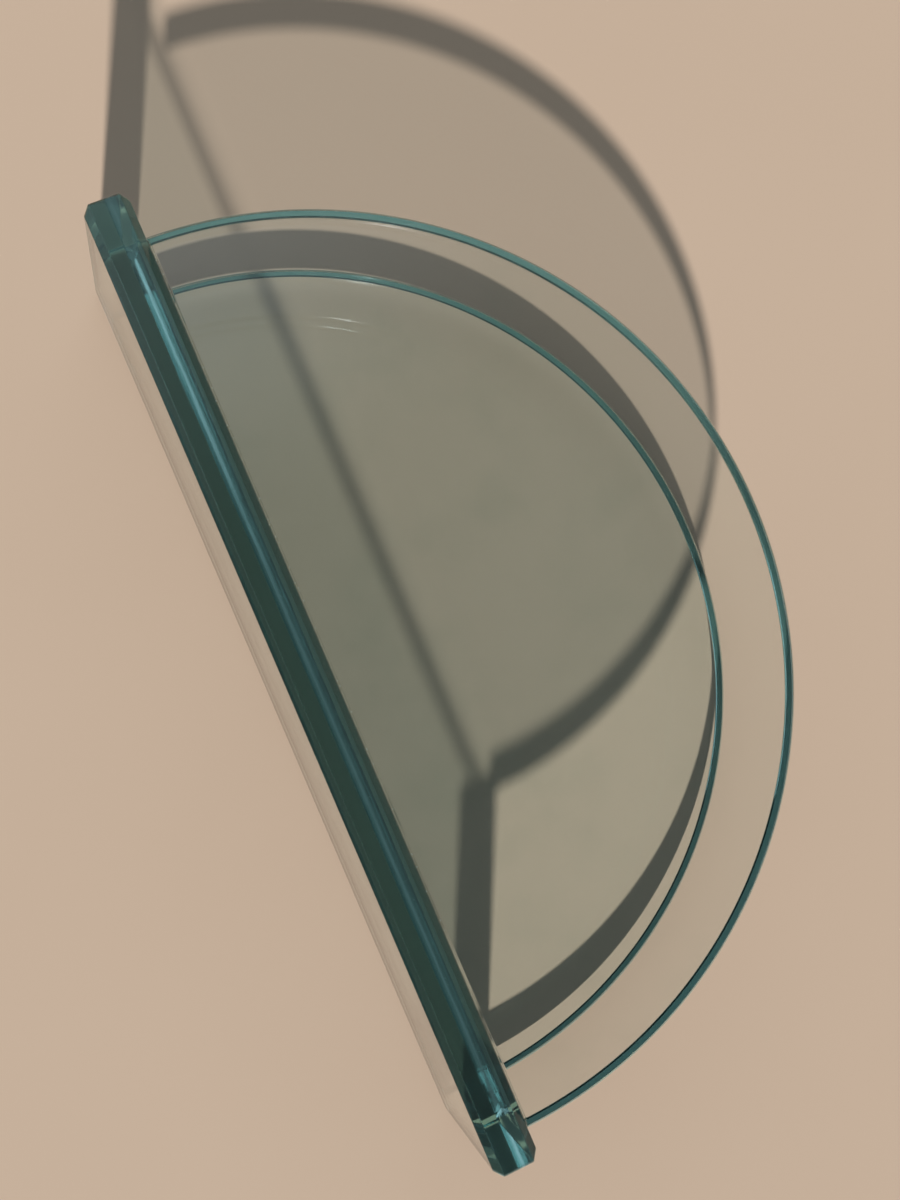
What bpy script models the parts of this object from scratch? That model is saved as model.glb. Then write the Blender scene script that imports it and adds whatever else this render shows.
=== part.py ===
"""Half-round holder of clear float glass, lying on one long edge of its base plate.

Two half-discs of glass are bonded by their straight edges to one face of a thicker base
plate, and what is held stands in the gap between them.  The half circles have a swelling
pencil edge.  All straight edges are ground flat and have a 45 degree arris.

+X runs along the base plate, +Y from the base plate to the crown of the half-discs, and
+Z is up.  The origin lies on the resting plane, under the middle of the whole object.
"""
import math

import bmesh
import bpy

# Driving dimensions, in metres
DISC_RADIUS = 0.0805
DISC_THICKNESS = 0.006
DISC_ARRIS = 0.0004
EDGE_BULGE = 0.0010
EDGE_TRIM = 0.0008
CLEAR_GAP = 0.032
BASE_THICKNESS = 0.008
BASE_ARRIS = 0.0013
UPPER_MARGIN = 0.0015
LOWER_MARGIN = 0.002
LEFT_OVERHANG = 0.0075
RIGHT_OVERHANG = 0.0045
SEAM_THICKNESS = 0.0003
SEAT_GAP = 0.0003

# Facets along the half circle and across its pencil edge, and the angle past which an edge
# counts as sharp
ARC_STEPS = 96
BULGE_STEPS = 8
SHARP_ANGLE = math.radians(30)

# Sizes that follow from the driving dimensions; the straight edge of a half-disc is ground
# back past the diameter by the trim, and the pencil edge is an arc from face to face
DISC_DEPTH = DISC_RADIUS - EDGE_TRIM
DISC_HALF = DISC_THICKNESS / 2
FLAT_HALF = DISC_HALF - DISC_ARRIS
BULGE_RADIUS = (DISC_HALF ** 2 + EDGE_BULGE ** 2) / (2 * EDGE_BULGE)
FLAT_RADIUS = DISC_RADIUS - BULGE_RADIUS + math.sqrt(BULGE_RADIUS ** 2 - FLAT_HALF ** 2)
STRAIGHT_HALF = math.sqrt(FLAT_RADIUS ** 2 - EDGE_TRIM ** 2)
BASE_LENGTH = LEFT_OVERHANG + 2 * DISC_RADIUS + RIGHT_OVERHANG
BASE_WIDTH = LOWER_MARGIN + 2 * DISC_THICKNESS + CLEAR_GAP + UPPER_MARGIN
SEAM_SPACE = SEAM_THICKNESS + 2 * SEAT_GAP
SEAM_LENGTH = 2 * (STRAIGHT_HALF - DISC_ARRIS)
SEAM_HEIGHT = DISC_THICKNESS - 2 * DISC_ARRIS
DEPTH = BASE_THICKNESS + SEAM_SPACE + DISC_DEPTH

# The half-discs' middle along X, which the two overhangs set off from the base plate's own
DISC_X = (LEFT_OVERHANG - RIGHT_OVERHANG) / 2

# Places along Y, from the outer face of the base plate to the half-discs' straight edges
OUTER_FACE_Y = -DEPTH / 2
INNER_FACE_Y = OUTER_FACE_Y + BASE_THICKNESS
STRAIGHT_EDGE_Y = INNER_FACE_Y + SEAM_SPACE

# Mid-heights of the two half-discs above the resting plane
LOWER_DISC_Z = LOWER_MARGIN + DISC_THICKNESS / 2
UPPER_DISC_Z = LOWER_DISC_Z + DISC_THICKNESS + CLEAR_GAP

# Colours are linear RGBA
FLOAT_GLASS = (0.80, 0.93, 0.90, 1.0)
CLEAR_ADHESIVE = (0.90, 0.95, 0.93, 1.0)
GLASS_IOR = 1.52
ADHESIVE_IOR = 1.49
GLASS_ROUGHNESS = 0.03
ADHESIVE_ROUGHNESS = 0.12


def clear_scene():
    """Remove whatever the open file holds."""
    for item in list(bpy.data.objects):
        bpy.data.objects.remove(item, do_unlink=True)


def clear_material(name, colour, roughness, ior):
    """A see-through, non-metallic material."""
    material = bpy.data.materials.new(name)
    material.use_nodes = True
    shader = material.node_tree.nodes["Principled BSDF"]
    shader.inputs["Base Color"].default_value = colour
    shader.inputs["Roughness"].default_value = roughness
    shader.inputs["Metallic"].default_value = 0.0
    shader.inputs["IOR"].default_value = ior
    shader.inputs["Transmission Weight"].default_value = 1.0
    material.diffuse_color = colour
    return material


def grind_arrises(bm, width):
    """Take a 45 degree arris off every sharp edge of a closed body."""
    sharp = [edge for edge in bm.edges if edge.calc_face_angle(0.0) > SHARP_ANGLE]
    bmesh.ops.bevel(
        bm,
        geom=sharp,
        offset=width,
        offset_type="OFFSET",
        segments=1,
        affect="EDGES",
        clamp_overlap=False,
    )


def add_piece(name, bm, material, place, holder):
    """Turn a finished body into a named object that is carried by the holder."""
    bmesh.ops.recalc_face_normals(bm, faces=bm.faces)
    mesh = bpy.data.meshes.new(name)
    bm.to_mesh(mesh)
    bm.free()
    mesh.materials.append(material)
    mesh.shade_smooth()
    mesh.set_sharp_from_angle(angle=SHARP_ANGLE)
    piece = bpy.data.objects.new(name, mesh)
    piece.location = place
    piece.parent = holder
    bpy.context.scene.collection.objects.link(piece)
    return piece


def block(length, depth, height):
    """A rectangular body about its own centre."""
    bm = bmesh.new()
    bmesh.ops.create_cube(bm, size=1.0)
    bmesh.ops.scale(bm, vec=(length, depth, height), verts=bm.verts)
    return bm


def outline_at(height):
    """Outline of a half-disc at a height over its middle, straight edge along X at y = 0."""
    radius = DISC_RADIUS - BULGE_RADIUS + math.sqrt(BULGE_RADIUS ** 2 - height ** 2)
    chord = EDGE_TRIM + max(0.0, abs(height) - FLAT_HALF)
    first_turn = math.asin(chord / radius)
    sweep = math.pi - 2 * first_turn
    outline = []
    for step in range(ARC_STEPS + 1):
        turn = first_turn + sweep * step / ARC_STEPS
        x = radius * math.cos(turn)
        y = radius * math.sin(turn) - EDGE_TRIM
        outline.append((x, y, height))
    return outline


def half_disc():
    """A half-disc about the middle of its straight edge, crown towards +Y."""
    bm = bmesh.new()
    heights = [FLAT_HALF * (2 * step / BULGE_STEPS - 1) for step in range(BULGE_STEPS + 1)]
    rings = []
    for height in [-DISC_HALF] + heights + [DISC_HALF]:
        rings.append([bm.verts.new(point) for point in outline_at(height)])
    bm.faces.new(reversed(rings[0]))
    bm.faces.new(rings[-1])
    for below, above in zip(rings, rings[1:]):
        for here in range(len(below)):
            after = (here + 1) % len(below)
            bm.faces.new((below[here], below[after], above[after], above[here]))
    return bm


def build_base_plate(holder):
    """The thick plate that carries both half-discs on its inner face."""
    glass = clear_material("base_plate_glass", FLOAT_GLASS, GLASS_ROUGHNESS, GLASS_IOR)
    body = block(BASE_LENGTH, BASE_THICKNESS, BASE_WIDTH)
    grind_arrises(body, BASE_ARRIS)
    middle = (0, OUTER_FACE_Y + BASE_THICKNESS / 2, BASE_WIDTH / 2)
    add_piece("base_plate", body, glass, middle, holder)


def build_side(side, disc_z, holder):
    """One half-disc and the adhesive seam that holds its straight edge to the base plate."""
    glass = clear_material(side + "_half_disc_glass", FLOAT_GLASS, GLASS_ROUGHNESS, GLASS_IOR)
    adhesive = clear_material(
        side + "_seam_adhesive", CLEAR_ADHESIVE, ADHESIVE_ROUGHNESS, ADHESIVE_IOR
    )
    disc_place = (DISC_X, STRAIGHT_EDGE_Y, disc_z)
    add_piece(side + "_half_disc", half_disc(), glass, disc_place, holder)
    film = block(SEAM_LENGTH, SEAM_THICKNESS, SEAM_HEIGHT)
    film_place = (DISC_X, (INNER_FACE_Y + STRAIGHT_EDGE_Y) / 2, disc_z)
    add_piece(side + "_adhesive_seam", film, adhesive, film_place, holder)


def main():
    """Build the whole holder."""
    clear_scene()
    holder = bpy.data.objects.new("holder", None)
    bpy.context.scene.collection.objects.link(holder)
    build_base_plate(holder)
    build_side("lower", LOWER_DISC_Z, holder)
    build_side("upper", UPPER_DISC_Z, holder)


main()
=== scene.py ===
"""Looks of a half-round holder of clear float glass, lying on one long edge of its base plate.

Three cut and ground pieces of glass are bonded with clear adhesive: a thick base plate and two
half-discs.  Each piece is worked out as arrays in the CAD's own frame, in metres, and stands for
the CAD node of the same name.
"""
import logging
import math
from dataclasses import dataclass, field
from enum import Enum
from typing import Any, Optional

import bpy
import numpy as np
from mathutils import Matrix, Vector
from numpy.typing import NDArray


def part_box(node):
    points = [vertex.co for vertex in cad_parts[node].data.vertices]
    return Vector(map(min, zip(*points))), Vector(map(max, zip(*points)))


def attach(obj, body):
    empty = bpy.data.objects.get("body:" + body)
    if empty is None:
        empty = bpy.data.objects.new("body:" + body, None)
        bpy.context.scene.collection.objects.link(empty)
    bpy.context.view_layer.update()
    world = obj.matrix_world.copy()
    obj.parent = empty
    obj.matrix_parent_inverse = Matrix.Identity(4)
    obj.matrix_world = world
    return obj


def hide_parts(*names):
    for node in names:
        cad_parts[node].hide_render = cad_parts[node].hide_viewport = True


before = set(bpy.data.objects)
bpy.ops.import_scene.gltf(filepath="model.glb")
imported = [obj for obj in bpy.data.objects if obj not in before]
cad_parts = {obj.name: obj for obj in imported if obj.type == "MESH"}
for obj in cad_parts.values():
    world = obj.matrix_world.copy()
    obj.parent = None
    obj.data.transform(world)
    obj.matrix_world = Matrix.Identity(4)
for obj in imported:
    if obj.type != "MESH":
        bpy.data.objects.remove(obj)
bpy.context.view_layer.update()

LOG = logging.getLogger("holder")
MM = 0.001

# What each facet of the glass carries: whether it is ground, the share of light that it
# scatters, and the share of the lamps' light that it lets through
GROUND = "ground"
SCATTER = "scatter"
PASSED = "passed"

# How little an axis counts that runs along the grinding lines
LINE_STRETCH = 0.02

# How the arrises are worn, and the angle past which an edge of the adhesive stays sharp
WEAR_SEGMENTS = 2
WEAR_ANGLE = math.radians(25)
BEAD_SHARP_ANGLE = math.radians(35)

Array = NDArray[np.float64]
Index = NDArray[np.int64]
Triple = tuple[float, float, float]
Pair = tuple[float, float]


class Side(Enum):
    """The two half-discs, named for where they are as the holder lies."""

    LOWER = "lower"
    UPPER = "upper"


# Share of the lamps' light that each face of a half-disc lets through; the lower one lies
# just over the bright floor, so its own shadow is faint
DISC_PASS = {Side.LOWER: 0.97, Side.UPPER: 0.81}


def linear(colour: str, alpha: float = 1.0) -> tuple[float, float, float, float]:
    """Turn an sRGB hex colour into linear RGBA.

    The curve is a straight line near black and a power above it.

    Args:
        colour: Six hex digits.
        alpha: Alpha to go with it.

    Returns:
        The colour in linear light.
    """
    levels = np.array([int(colour[i:i + 2], 16) for i in (0, 2, 4)]) / 255
    light = np.where(levels <= 0.04045, levels / 12.92, ((levels + 0.055) / 1.055) ** 2.4)
    return (float(light[0]), float(light[1]), float(light[2]), alpha)


def add_node(
    tree: bpy.types.NodeTree,
    kind: str,
    settings: Optional[dict[str, Any]] = None,
    values: Optional[dict[Any, Any]] = None,
    links: Optional[dict[Any, bpy.types.NodeSocket]] = None,
) -> bpy.types.Node:
    """Add one node with its settings, socket values and incoming links.

    Args:
        tree: Node tree that takes the node.
        kind: Node type name.
        settings: Properties of the node.
        values: Constants, by input name or index.
        links: Sockets to link from, by input name or index.

    Returns:
        The new node.
    """
    node = tree.nodes.new(kind)
    for name, value in (settings or {}).items():
        setattr(node, name, value)
    for key, value in (values or {}).items():
        node.inputs[key].default_value = value
    for key, socket in (links or {}).items():
        tree.links.new(socket, node.inputs[key])
    return node


def new_tree(name: str) -> tuple[bpy.types.Material, bpy.types.NodeTree]:
    """Make an empty node material.

    Args:
        name: Name of the material.

    Returns:
        The material and its node tree.
    """
    material = bpy.data.materials.new(name)
    material.use_nodes = True
    material.node_tree.nodes.clear()
    return material, material.node_tree


def lit_through(
    tree: bpy.types.NodeTree,
    surface: bpy.types.NodeSocket,
    passed: Optional[dict[Any, bpy.types.NodeSocket]] = None,
) -> bpy.types.NodeSocket:
    """Let lamps and light from the floor through a clear surface.

    Args:
        tree: Node tree of the material.
        surface: The surface itself.
        passed: Link for the share that gets through; all of it does without one.

    Returns:
        The socket of the finished surface.
    """
    clear = add_node(tree, "ShaderNodeBsdfTransparent", links=passed).outputs[0]
    path = add_node(tree, "ShaderNodeLightPath").outputs
    for kind in ("Is Diffuse Ray", "Is Shadow Ray"):
        surface = add_node(
            tree, "ShaderNodeMixShader", links={0: path[kind], 1: surface, 2: clear}
        ).outputs[0]
    return surface


@dataclass(frozen=True)
class FloatGlass:
    """Clear float glass: bright fire-polished faces, green in the depth, finely ground edges."""

    name: str
    ior: float = 1.52
    clean_colour: str = "FCFEFD"
    smudge_colour: str = "F1F7F5"
    edge_colour: str = "B8DCCE"
    absorbed_colour: Triple = (0.0, 0.62, 0.58)
    absorbed_density: float = 8.0
    face_roughness: float = 0.0
    smudge_roughness: float = 0.05
    edge_roughness: float = 0.03
    line_roughness: float = 0.10
    smudge_size: float = 22 * MM
    smudge_detail: float = 5.0
    smudge_grain: float = 0.6
    smudge_range: Pair = (0.5, 0.78)
    line_pitch: float = 0.35 * MM
    line_detail: float = 3.0
    line_grain: float = 0.55
    line_depth: float = 0.02 * MM
    line_strength: float = 0.25

    def material(self, along: Triple) -> bpy.types.Material:
        """Make the glass for one piece.

        The eye gets faint wiped smudges on the faces, grinding lines along the edges, and a
        green that deepens with the length of glass looked through.

        Args:
            along: How much each axis counts across the grinding lines.

        Returns:
            The material.
        """
        material, tree = new_tree(self.name)
        place = add_node(tree, "ShaderNodeTexCoord").outputs["Object"]
        smudge = self._smudges(tree, place)
        lines = self._lines(tree, place, along)
        ground, scatter, passed = (
            add_node(tree, "ShaderNodeAttribute", {"attribute_name": name}).outputs["Fac"]
            for name in (GROUND, SCATTER, PASSED)
        )
        face_roughness = add_node(
            tree,
            "ShaderNodeMapRange",
            values={"To Min": self.face_roughness, "To Max": self.smudge_roughness},
            links={"Value": smudge},
        ).outputs["Result"]
        edge_roughness = add_node(
            tree,
            "ShaderNodeMapRange",
            values={"To Min": self.edge_roughness, "To Max": self.line_roughness},
            links={"Value": lines},
        ).outputs["Result"]
        roughness = add_node(
            tree,
            "ShaderNodeMix",
            {"data_type": "FLOAT"},
            links={0: ground, 2: face_roughness, 3: edge_roughness},
        ).outputs[0]
        face_colour = add_node(
            tree,
            "ShaderNodeMix",
            {"data_type": "RGBA"},
            {6: linear(self.clean_colour), 7: linear(self.smudge_colour)},
            {0: smudge},
        ).outputs[2]
        colour = add_node(
            tree,
            "ShaderNodeMix",
            {"data_type": "RGBA"},
            {7: linear(self.edge_colour)},
            {0: ground, 6: face_colour},
        ).outputs[2]
        clear = add_node(
            tree, "ShaderNodeMath", {"operation": "SUBTRACT"}, {0: 1.0}, {1: scatter}
        ).outputs[0]
        height = add_node(
            tree, "ShaderNodeMath", {"operation": "MULTIPLY"}, links={0: lines, 1: ground}
        ).outputs[0]
        bump = add_node(
            tree,
            "ShaderNodeBump",
            values={"Strength": self.line_strength, "Distance": self.line_depth},
            links={"Height": height},
        ).outputs["Normal"]
        surface = add_node(
            tree,
            "ShaderNodeBsdfPrincipled",
            values={"IOR": self.ior, "Metallic": 0.0},
            links={
                "Base Color": colour,
                "Roughness": roughness,
                "Transmission Weight": clear,
                "Normal": bump,
            },
        ).outputs["BSDF"]
        depth = add_node(
            tree,
            "ShaderNodeVolumeAbsorption",
            values={"Color": (*self.absorbed_colour, 1.0), "Density": self.absorbed_density},
        ).outputs["Volume"]
        add_node(
            tree,
            "ShaderNodeOutputMaterial",
            links={"Surface": lit_through(tree, surface, {"Color": passed}), "Volume": depth},
        )
        return material

    def _smudges(
        self, tree: bpy.types.NodeTree, place: bpy.types.NodeSocket
    ) -> bpy.types.NodeSocket:
        """Soft patches where a face was wiped, from 0 for clean to 1.

        Args:
            tree: Node tree of the material.
            place: Object coordinates.

        Returns:
            The socket that holds the patches.
        """
        noise = add_node(
            tree,
            "ShaderNodeTexNoise",
            values={
                "Scale": 1 / self.smudge_size,
                "Detail": self.smudge_detail,
                "Roughness": self.smudge_grain,
            },
            links={"Vector": place},
        ).outputs["Fac"]
        return add_node(
            tree,
            "ShaderNodeMapRange",
            {"interpolation_type": "SMOOTHSTEP"},
            {"From Min": self.smudge_range[0], "From Max": self.smudge_range[1]},
            {"Value": noise},
        ).outputs["Result"]

    def _lines(
        self,
        tree: bpy.types.NodeTree,
        place: bpy.types.NodeSocket,
        along: Triple,
    ) -> bpy.types.NodeSocket:
        """Fine lines left by the grinding wheel, from 0 to 1.

        Args:
            tree: Node tree of the material.
            place: Object coordinates.
            along: How much each axis counts across the lines.

        Returns:
            The socket that holds the lines.
        """
        stretched = add_node(
            tree,
            "ShaderNodeVectorMath",
            {"operation": "MULTIPLY"},
            {1: along},
            {0: place},
        ).outputs[0]
        return add_node(
            tree,
            "ShaderNodeTexNoise",
            values={
                "Scale": 1 / self.line_pitch,
                "Detail": self.line_detail,
                "Roughness": self.line_grain,
            },
            links={"Vector": stretched},
        ).outputs["Fac"]


@dataclass(frozen=True)
class ClearAdhesive:
    """Cured clear adhesive: a softer gloss than glass, with fine trapped bubbles."""

    name: str = "cured_clear_adhesive"
    ior: float = 1.49
    colour: str = "F4F8F6"
    bubble_colour: str = "DDE6E2"
    bubble_pitch: float = 0.9 * MM
    bubble_range: Pair = (0.16, 0.10)
    film_roughness: float = 0.03
    bubble_roughness: float = 0.35

    def material(self) -> bpy.types.Material:
        """Make the adhesive; the eye gets a glossy film with a scatter of tiny bubbles.

        Returns:
            The material.
        """
        material, tree = new_tree(self.name)
        place = add_node(tree, "ShaderNodeTexCoord").outputs["Object"]
        cell = add_node(
            tree,
            "ShaderNodeTexVoronoi",
            values={"Scale": 1 / self.bubble_pitch},
            links={"Vector": place},
        ).outputs["Distance"]
        bubble = add_node(
            tree,
            "ShaderNodeMapRange",
            values={"From Min": self.bubble_range[0], "From Max": self.bubble_range[1]},
            links={"Value": cell},
        ).outputs["Result"]
        colour = add_node(
            tree,
            "ShaderNodeMix",
            {"data_type": "RGBA"},
            {6: linear(self.colour), 7: linear(self.bubble_colour)},
            {0: bubble},
        ).outputs[2]
        roughness = add_node(
            tree,
            "ShaderNodeMapRange",
            values={"To Min": self.film_roughness, "To Max": self.bubble_roughness},
            links={"Value": bubble},
        ).outputs["Result"]
        surface = add_node(
            tree,
            "ShaderNodeBsdfPrincipled",
            values={"IOR": self.ior, "Transmission Weight": 1.0, "Metallic": 0.0},
            links={"Base Color": colour, "Roughness": roughness},
        ).outputs["BSDF"]
        add_node(tree, "ShaderNodeOutputMaterial", links={"Surface": lit_through(tree, surface)})
        return material


@dataclass(frozen=True)
class PaleLaminate:
    """The plain pale surface that the holder lies on."""

    name: str = "pale_laminate"
    light_colour: str = "CDB29A"
    dark_colour: str = "C6AB93"
    cloud_scale: float = 9.0
    cloud_detail: float = 3.0
    roughness: float = 0.75
    gloss: float = 0.2

    def material(self) -> bpy.types.Material:
        """Make the surface; the eye gets an even warm tone with a very faint cloudiness.

        Returns:
            The material.
        """
        material, tree = new_tree(self.name)
        place = add_node(tree, "ShaderNodeTexCoord").outputs["Object"]
        cloud = add_node(
            tree,
            "ShaderNodeTexNoise",
            values={"Scale": self.cloud_scale, "Detail": self.cloud_detail},
            links={"Vector": place},
        ).outputs["Fac"]
        colour = add_node(
            tree,
            "ShaderNodeMix",
            {"data_type": "RGBA"},
            {6: linear(self.light_colour), 7: linear(self.dark_colour)},
            {0: cloud},
        ).outputs[2]
        surface = add_node(
            tree,
            "ShaderNodeBsdfPrincipled",
            values={"Roughness": self.roughness, "Specular IOR Level": self.gloss},
            links={"Base Color": colour},
        ).outputs["BSDF"]
        add_node(tree, "ShaderNodeOutputMaterial", links={"Surface": surface})
        return material


def mesh_object(
    name: str, points: Array, faces: list[list[int]], material: bpy.types.Material
) -> bpy.types.Object:
    """Make a smooth-shaded mesh object from arrays.

    Args:
        name: Name of the object and its mesh.
        points: Vertices, one row each.
        faces: Vertex numbers of each face, seen anticlockwise from outside.
        material: Material of the whole mesh.

    Returns:
        The object, linked into the scene.
    """
    mesh = bpy.data.meshes.new(name)
    mesh.from_pydata(points.tolist(), [], faces)
    mesh.materials.append(material)
    mesh.shade_smooth()
    mesh.validate()
    item = bpy.data.objects.new(name, mesh)
    bpy.context.scene.collection.objects.link(item)
    return item


def strip_faces(first: int, second: int, count: int) -> Index:
    """Quads between two closed rings of vertices.

    Args:
        first: Number of the first vertex of the lower ring.
        second: Number of the first vertex of the upper ring.
        count: Vertices in each ring.

    Returns:
        One row of four vertex numbers for each quad.
    """
    here = np.arange(count)
    after = (here + 1) % count
    return np.stack([first + here, first + after, second + after, second + here], axis=1)


def fan_faces(pole: int, ring: int, count: int, up: bool) -> Index:
    """Triangles between a pole and a closed ring of vertices.

    Args:
        pole: Number of the pole's vertex.
        ring: Number of the first vertex of the ring.
        count: Vertices in the ring.
        up: Whether the fan faces up.

    Returns:
        One row of three vertex numbers for each triangle.
    """
    here = ring + np.arange(count)
    after = ring + (np.arange(count) + 1) % count
    hub = np.full(count, pole)
    return np.stack([hub, here, after] if up else [hub, after, here], axis=1)


@dataclass
class GroundPlate:
    """A piece of glass cut to an outline and ground round its edge."""

    node: str
    slot: str
    finish: FloatGlass
    thickness: float
    arris: float
    wear: float
    face_pass: float
    edge_pass: float = 0.03

    def heights(self) -> Array:
        """Heights at which the section of the edge turns, from the lower to the upper face."""
        raise NotImplementedError

    def outline(self, height: float) -> Array:
        """The closed outline at a height, anticlockwise."""
        raise NotImplementedError

    def placed(self, plane: Array, height: Array) -> Array:
        """Points of the outline's plane and heights over it, in the CAD frame."""
        raise NotImplementedError

    def lines_along(self) -> Triple:
        """How much each axis counts across the grinding lines."""
        raise NotImplementedError

    def scatter(self, bands: int, count: int) -> Array:
        """Share of light that each facet of the edge scatters, by band and outline point."""
        raise NotImplementedError

    def passed(self, bands: int, count: int) -> Array:
        """Share of the lamps' light that each facet of the edge lets through, all if bonded."""
        return np.where(self.scatter(bands, count) > 0, self.edge_pass, 1.0)

    def set_back(self, height: float) -> float:
        """How far the 45 degree arris takes the edge back at a height."""
        return max(0.0, abs(height) - self.thickness / 2 + self.arris)

    def build(self) -> bpy.types.Object:
        """Make the piece: the section is carried round the outline and shut by two flat faces.

        Each ring of vertices is the outline at one height of the section, and a fan of
        triangles shuts the first and the last ring.

        Returns:
            The finished piece.
        """
        heights = self.heights()
        rings = np.stack([self.outline(height) for height in heights])
        levels, count = rings.shape[:2]
        middle = rings[0].mean(axis=0, keepdims=True)
        plane = np.concatenate([middle, rings.reshape(-1, 2), middle])
        height = np.concatenate([heights[:1], np.repeat(heights, count), heights[-1:]])
        starts = 1 + count * np.arange(levels)
        bands = np.concatenate([strip_faces(a, a + count, count) for a in starts[:-1]])
        lower = fan_faces(0, starts[0], count, up=False)
        upper = fan_faces(len(plane) - 1, starts[-1], count, up=True)
        faces = bands.tolist() + lower.tolist() + upper.tolist()
        points = self.placed(plane, height)
        piece = mesh_object(
            self.node + "_glass", points, faces, self.finish.material(self.lines_along())
        )
        scatter = self.scatter(levels - 1, count).ravel()
        passed = self.passed(levels - 1, count).ravel()
        for name, face, facets in (
            (SCATTER, 0.0, scatter),
            (GROUND, 0.0, scatter > 0),
            (PASSED, self.face_pass, passed),
        ):
            values = np.full(len(faces), face, dtype=np.float32)
            values[: len(bands)] = facets
            piece.data.attributes.new(name, "FLOAT", "FACE").data.foreach_set("value", values)
        self._round_off(piece)
        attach(piece, "root")
        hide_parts(self.node)
        return piece

    def _round_off(self, piece: bpy.types.Object) -> None:
        """Take the last sharpness off the arrises, as polishing and handling do.

        Args:
            piece: The piece to be worn.
        """
        bevel = piece.modifiers.new("worn_arrises", "BEVEL")
        bevel.width = self.wear
        bevel.segments = WEAR_SEGMENTS
        bevel.limit_method = "ANGLE"
        bevel.angle_limit = WEAR_ANGLE
        bevel.use_clamp_overlap = False
        bevel.harden_normals = True


@dataclass
class BasePlate(GroundPlate):
    """The thick rectangular plate that carries both half-discs on its inner face."""

    node: str = "base_plate"
    slot: str = "thick_float_glass"
    finish: FloatGlass = FloatGlass(
        "thick_float_glass", edge_colour="AEDCD6", edge_roughness=0.0, line_roughness=0.04
    )
    thickness: float = 8 * MM
    arris: float = 1.3 * MM
    wear: float = 0.12 * MM
    face_pass: float = 0.73
    corner: float = 0.4 * MM
    edge_steps: int = 24
    # The ends scatter more than the long edges: painted light that makes them look lighter
    end_scatter_and_painted_light: float = 0.1
    long_scatter: float = 0.015
    top_scatter: float = 0.045
    inner_bands: int = 2
    top_dark: float = 3.8 * MM
    top_pass: tuple[float, ...] = (1.0, 1.0, 0.25, 0.73)
    foot_pass: float = 0.16

    def heights(self) -> Array:
        """From face to face over an arris, the flat ground edge in two parts and an arris.

        Returns:
            Heights over the plate's mid-plane.
        """
        half = self.thickness / 2
        turns = [0.0, self.arris, self.top_dark, self.thickness - self.arris, self.thickness]
        return np.array(turns) - half

    def outline(self, height: float) -> Array:
        """The rectangle in X and Z with its corners taken off.

        Each side runs in even steps between two corners and stops short of both.

        Args:
            height: Height over the plate's mid-plane.

        Returns:
            One row for each point.
        """
        low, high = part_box(self.node)
        inset = self.set_back(height)
        half = np.array([(high.x - low.x) / 2, (high.z - low.z) / 2]) - inset
        share = np.linspace(0.0, 1.0, self.edge_steps + 1)[:, None]
        signs = np.array([[1, -1], [1, 1], [-1, 1], [-1, -1]], dtype=float)
        corner = signs * half
        step = np.array([[0, 1], [-1, 0], [0, -1], [1, 0]], dtype=float)
        start = corner + self.corner * step
        end = np.roll(corner, -1, axis=0) - self.corner * step
        return np.concatenate([a + share * (b - a) for a, b in zip(start, end)])

    def placed(self, plane: Array, height: Array) -> Array:
        """Stand the outline up: its height runs along Y, from the inner to the outer face.

        Args:
            plane: Points of the outline's plane, from its middle.
            height: Heights over the plate's mid-plane.

        Returns:
            One row for each point.
        """
        low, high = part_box(self.node)
        middle = (low + high) / 2
        return np.stack(
            [middle.x + plane[:, 0], middle.y - height, middle.z + plane[:, 1]], axis=1
        )

    def lines_along(self) -> Triple:
        """The lines run along X."""
        return (LINE_STRETCH, 1.0, 1.0)

    def scatter(self, bands: int, count: int) -> Array:
        """The ends scatter more than the long edges, and the top's inner part a little more.

        The extra scatter at the ends is painted light that makes them look lighter.

        Args:
            bands: Bands of facets across the edge.
            count: Points of the outline.

        Returns:
            One row for each band.
        """
        sides = np.repeat(np.tile([self.end_scatter_and_painted_light, self.long_scatter], 2), count // 4)
        scatter = np.tile(sides, (bands, 1))
        scatter[:self.inner_bands, self._top(count)] = self.top_scatter
        return scatter

    def passed(self, bands: int, count: int) -> Array:
        """Light bent in the glass gets out again under most of the top edge, and some below.

        Args:
            bands: Bands of facets across the edge.
            count: Points of the outline.

        Returns:
            One row for each band.
        """
        passed = super().passed(bands, count)
        passed[:, self._top(count)] = np.array(self.top_pass)[:, None]
        passed[:, self._foot(count)] = self.foot_pass
        return passed

    def _top(self, count: int) -> slice:
        """Points of the outline along the top edge, the second of its four sides."""
        return slice(count // 4, count // 2)

    def _foot(self, count: int) -> slice:
        """Points of the outline along the resting edge, the last of its four sides."""
        return slice(3 * count // 4, count)


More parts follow.
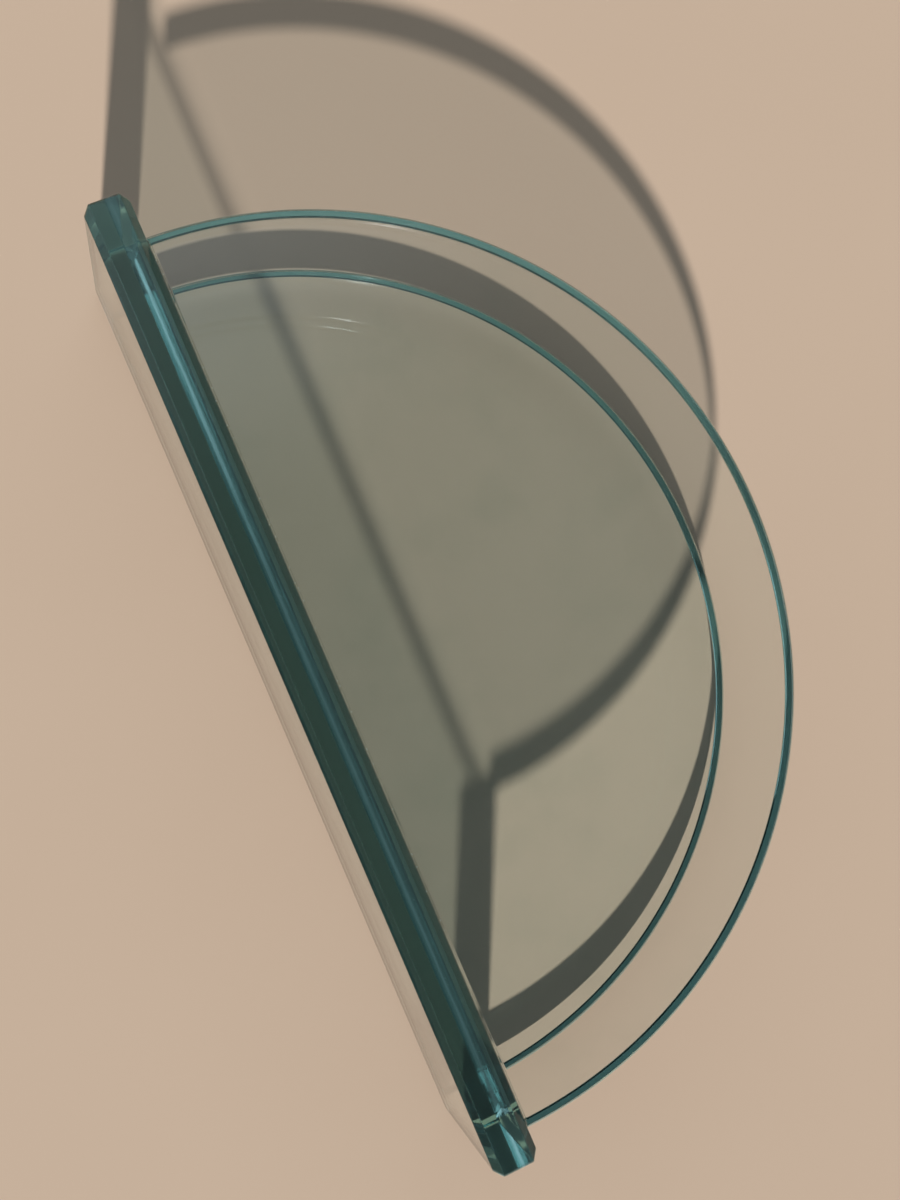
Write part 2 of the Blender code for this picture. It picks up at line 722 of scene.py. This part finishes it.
@dataclass
class HalfDisc(GroundPlate):
    """One half-disc: a pencil edge round the half circle, and a straight edge that is bonded."""

    node: str = ""
    slot: str = "float_glass"
    finish: FloatGlass = FloatGlass("float_glass", edge_colour="78A69E")
    thickness: float = 6 * MM
    arris: float = 0.4 * MM
    wear: float = 0.1 * MM
    face_pass: float = DISC_PASS[Side.UPPER]
    radius: float = 80.5 * MM
    bulge: float = 1.0 * MM
    film: float = 0.15 * MM
    arc_steps: int = 320
    bulge_steps: int = 14
    edge_steps: int = 40
    # Scatter round the arc by turn in degrees, partly painted light: most where the rim lies in
    # shade, least at its crown
    arc_turns: tuple[float, ...] = (60.0, 90.0, 115.0)
    arc_scatter_and_painted_light: tuple[float, ...] = (0.75, 0.3, 0.5)
    arris_scatter: float = 0.1

    def centre(self) -> Vector:
        """Middle of the half circle, in the CAD frame, at half the plate's thickness."""
        low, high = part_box(self.node)
        return Vector(((low.x + high.x) / 2, high.y - self.radius, (low.z + high.z) / 2))

    def straight(self) -> float:
        """Distance of the bonded edge from the circle's centre, along Y."""
        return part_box("base_plate")[1].y + self.film - self.centre().y

    def scatter(self, bands: int, count: int) -> Array:
        """The half circle is ground and scatters little at its arrises; the chord is bonded.

        Round the arc the scatter is painted light: most where the rim lies in shade, least at
        its crown.

        Args:
            bands: Bands of facets across the edge.
            count: Points of the outline.

        Returns:
            One row for each band.
        """
        turn = np.linspace(0.0, 180.0, self.arc_steps)
        scatter = np.zeros((bands, count))
        scatter[:, :self.arc_steps] = np.interp(turn, self.arc_turns, self.arc_scatter_and_painted_light)
        scatter[[0, -1], :self.arc_steps] = self.arris_scatter
        return scatter

    def heights(self) -> Array:
        """From face to face, close enough to follow the swell of the pencil edge.

        Returns:
            Heights over the plate's mid-plane.
        """
        half = self.thickness / 2
        flat = half - self.arris
        swell = np.linspace(-flat, flat, self.bulge_steps + 1)
        return np.concatenate([[-half], swell, [half]])

    def outline(self, height: float) -> Array:
        """The half circle and its chord.

        The pencil edge is an arc from face to face, so the radius is largest at mid-height.

        Args:
            height: Height over the plate's mid-plane.

        Returns:
            One row for each point, from the circle's centre.
        """
        swell = (self.thickness ** 2 / 4 + self.bulge ** 2) / (2 * self.bulge)
        radius = self.radius - swell + math.sqrt(swell ** 2 - height ** 2)
        chord = self.straight() + self.set_back(height)
        first = math.asin(chord / radius)
        turn = np.linspace(first, math.pi - first, self.arc_steps + 1)
        arc = radius * np.stack([np.cos(turn), np.sin(turn)], axis=1)
        run = np.linspace(arc[-1, 0], arc[0, 0], self.edge_steps + 1)[1:-1]
        return np.concatenate([arc, np.stack([run, np.full_like(run, chord)], axis=1)])

    def placed(self, plane: Array, height: Array) -> Array:
        """Lay the outline flat at the half-disc's own height."""
        centre = self.centre()
        return np.stack(
            [centre.x + plane[:, 0], centre.y + plane[:, 1], centre.z + height], axis=1
        )

    def lines_along(self) -> Triple:
        """The lines run level, round the half circle."""
        return (LINE_STRETCH, LINE_STRETCH, 1.0)


@dataclass
class AdhesiveSeam:
    """The adhesive film under one half-disc's straight edge, with a small bead on each side."""

    disc: HalfDisc
    node: str
    finish: ClearAdhesive
    slot: str = "clear_adhesive"
    wet: float = 0.04 * MM
    bead: float = 0.35 * MM
    bead_start: float = 0.55
    bead_spread: float = 0.45
    bead_hollow: float = 0.3
    bead_steps: int = 6
    length_steps: int = 60

    def build(self) -> bpy.types.Object:
        """Make the seam: its section is carried along X and shut at both ends.

        The section is the film between the base plate and the straight edge.  Beyond the
        straight edge it spreads into the groove at the arris and ends in a hollow curve.

        Returns:
            The finished piece.
        """
        disc = self.disc
        low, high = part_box(self.node)
        centre = disc.centre()
        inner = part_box("base_plate")[1].y
        flat = disc.thickness / 2 - disc.arris
        share = np.linspace(0.0, 1.0, self.bead_steps + 1)
        hollow = 1 - np.sqrt(1 - (1 - share) ** 2)
        rim_y = disc.film + self.bead - (disc.film + self.bead + self.wet) * share
        spread = self.bead_spread * (share ** 2 - hollow * self.bead_hollow)
        rim_z = flat + self.bead * (self.bead_start + spread)
        upper = np.stack([rim_y, rim_z], axis=1)
        foot = np.array([[disc.film + self.wet, flat]])
        side = np.concatenate([foot, upper])
        section = np.concatenate([side, side[::-1] * np.array([1.0, -1.0])])
        run = np.linspace(low.x, high.x, self.length_steps + 1)
        count, rows = len(section), len(run)
        x = np.repeat(run, count)
        y = inner + np.tile(section[:, 0], rows)
        z = centre.z + np.tile(section[:, 1], rows)
        points = np.stack([x, y, z], axis=1)
        starts = count * np.arange(rows)
        bands = np.concatenate([strip_faces(a, a + count, count) for a in starts[:-1]])
        first = np.arange(count)[::-1]
        last = starts[-1] + np.arange(count)
        faces = bands.tolist() + [first.tolist(), last.tolist()]
        piece = mesh_object(self.node + "_film", points, faces, self.finish.material())
        piece.data.set_sharp_from_angle(angle=BEAD_SHARP_ANGLE)
        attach(piece, "root")
        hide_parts(self.node)
        return piece


@dataclass
class Studio:
    """Pale floor, soft light and the photograph's camera."""

    floor_half: float = 5.0
    floor_drop: float = 0.3 * MM
    floor_steps: int = 20
    key_direction: Triple = (1.18, -0.57, 1.0)
    key_strength: float = 3.8
    key_angle: float = 2.0
    sky_bright: str = "C4D6E3"
    bright_axis: Triple = (-1.0, -0.2, 0.2)
    bright_rise: Pair = (0.25, 0.57)
    sky_glow: str = "4C585D"
    glow_axis: Triple = (0.0, -1.0, 0.0)
    glow_rise: Pair = (0.1, 0.95)
    sky_dark: str = "424A4E"
    camera_place: Triple = (-0.00149, -0.065016, 0.308196)
    camera_aim: Triple = (-0.00387, -0.0042, 0.0)
    camera_right_turn: float = 67.22
    camera_lens: float = 47.788
    camera_sensor: float = 36.0
    camera_clip: Pair = (0.005, 50.0)
    floor_finish: PaleLaminate = field(default_factory=PaleLaminate)

    def build(self) -> None:
        """Set up floor, light and camera."""
        self._floor()
        self._key()
        self._world()
        self._camera()

    def _floor(self) -> None:
        """A level sheet just under the holder, as a square grid."""
        run = np.linspace(-self.floor_half, self.floor_half, self.floor_steps + 1)
        x, y = np.meshgrid(run, run)
        points = np.stack([x.ravel(), y.ravel(), np.full(x.size, -self.floor_drop)], axis=1)
        index = np.arange(x.size).reshape(x.shape)
        faces = np.stack(
            [index[:-1, :-1], index[:-1, 1:], index[1:, 1:], index[1:, :-1]], axis=-1
        ).reshape(-1, 4)
        floor = mesh_object("floor", points, faces.tolist(), self.floor_finish.material())

    def _key(self) -> None:
        """The main light, soft at its edge."""
        lamp = bpy.data.lights.new("key", "SUN")
        lamp.energy = self.key_strength
        lamp.angle = math.radians(self.key_angle)
        key = bpy.data.objects.new("key", lamp)
        key.rotation_mode = "QUATERNION"
        key.rotation_quaternion = Vector(self.key_direction).to_track_quat("Z", "Y")
        bpy.context.scene.collection.objects.link(key)

    def _world(self) -> None:
        """Soft light all round, bright and cool on one side, dim on the other."""
        world = bpy.data.worlds.new("soft_light")
        world.use_nodes = True
        tree = world.node_tree
        tree.nodes.clear()
        glow = self._towards(tree, self.glow_axis, self.glow_rise)
        bright = self._towards(tree, self.bright_axis, self.bright_rise)
        dim = add_node(
            tree,
            "ShaderNodeMix",
            {"data_type": "RGBA"},
            {6: linear(self.sky_dark), 7: linear(self.sky_glow)},
            {0: glow},
        ).outputs[2]
        colour = add_node(
            tree,
            "ShaderNodeMix",
            {"data_type": "RGBA"},
            {7: linear(self.sky_bright)},
            {0: bright, 6: dim},
        ).outputs[2]
        light = add_node(
            tree, "ShaderNodeBackground", values={"Strength": 1.0}, links={"Color": colour}
        ).outputs["Background"]
        add_node(tree, "ShaderNodeOutputWorld", links={"Surface": light})
        bpy.context.scene.world = world

    def _towards(
        self, tree: bpy.types.NodeTree, axis: Triple, rise: Pair
    ) -> bpy.types.NodeSocket:
        """How far a direction turns towards an axis, from 0 to 1.

        Args:
            tree: Node tree of the world.
            axis: The axis.
            rise: Where the dot product with the axis starts and stops to count.

        Returns:
            The socket that holds the share.
        """
        way = add_node(tree, "ShaderNodeTexCoord").outputs["Generated"]
        along = add_node(
            tree, "ShaderNodeVectorMath", {"operation": "DOT_PRODUCT"}, {1: axis}, {0: way}
        ).outputs["Value"]
        return add_node(
            tree,
            "ShaderNodeMapRange",
            {"interpolation_type": "SMOOTHSTEP"},
            {"From Min": rise[0], "From Max": rise[1]},
            {"Value": along},
        ).outputs["Result"]

    def _camera(self) -> None:
        """The photograph's viewpoint: from above, a little over the base plate.

        It looks along the line from its place to its aim, and its right is a turn from X.
        """
        ahead = (Vector(self.camera_aim) - Vector(self.camera_place)).normalized()
        turn = math.radians(self.camera_right_turn)
        hint = Vector((math.cos(turn), math.sin(turn), 0.0))
        up = hint.cross(ahead).normalized()
        right = ahead.cross(up)
        axes = Matrix((right, up, -ahead)).transposed().to_4x4()
        data = bpy.data.cameras.new("camera")
        data.lens = self.camera_lens
        data.sensor_width = self.camera_sensor
        data.clip_start, data.clip_end = self.camera_clip
        camera = bpy.data.objects.new("camera", data)
        camera.matrix_world = Matrix.Translation(self.camera_place) @ axes
        bpy.context.scene.collection.objects.link(camera)
        bpy.context.scene.camera = camera


def main() -> None:
    """Build every piece, then the studio."""
    logging.basicConfig(level=logging.INFO, format="%(message)s")
    bpy.context.scene.view_settings.view_transform = "Standard"
    base = BasePlate()
    LOG.info("built %s", base.build().name)
    for side in Side:
        disc = HalfDisc(node=side.value + "_half_disc", face_pass=DISC_PASS[side])
        LOG.info("built %s", disc.build().name)
        seam = AdhesiveSeam(disc, side.value + "_adhesive_seam", ClearAdhesive())
        LOG.info("built %s", seam.build().name)
    Studio().build()


if __name__ == "__main__":
    main()
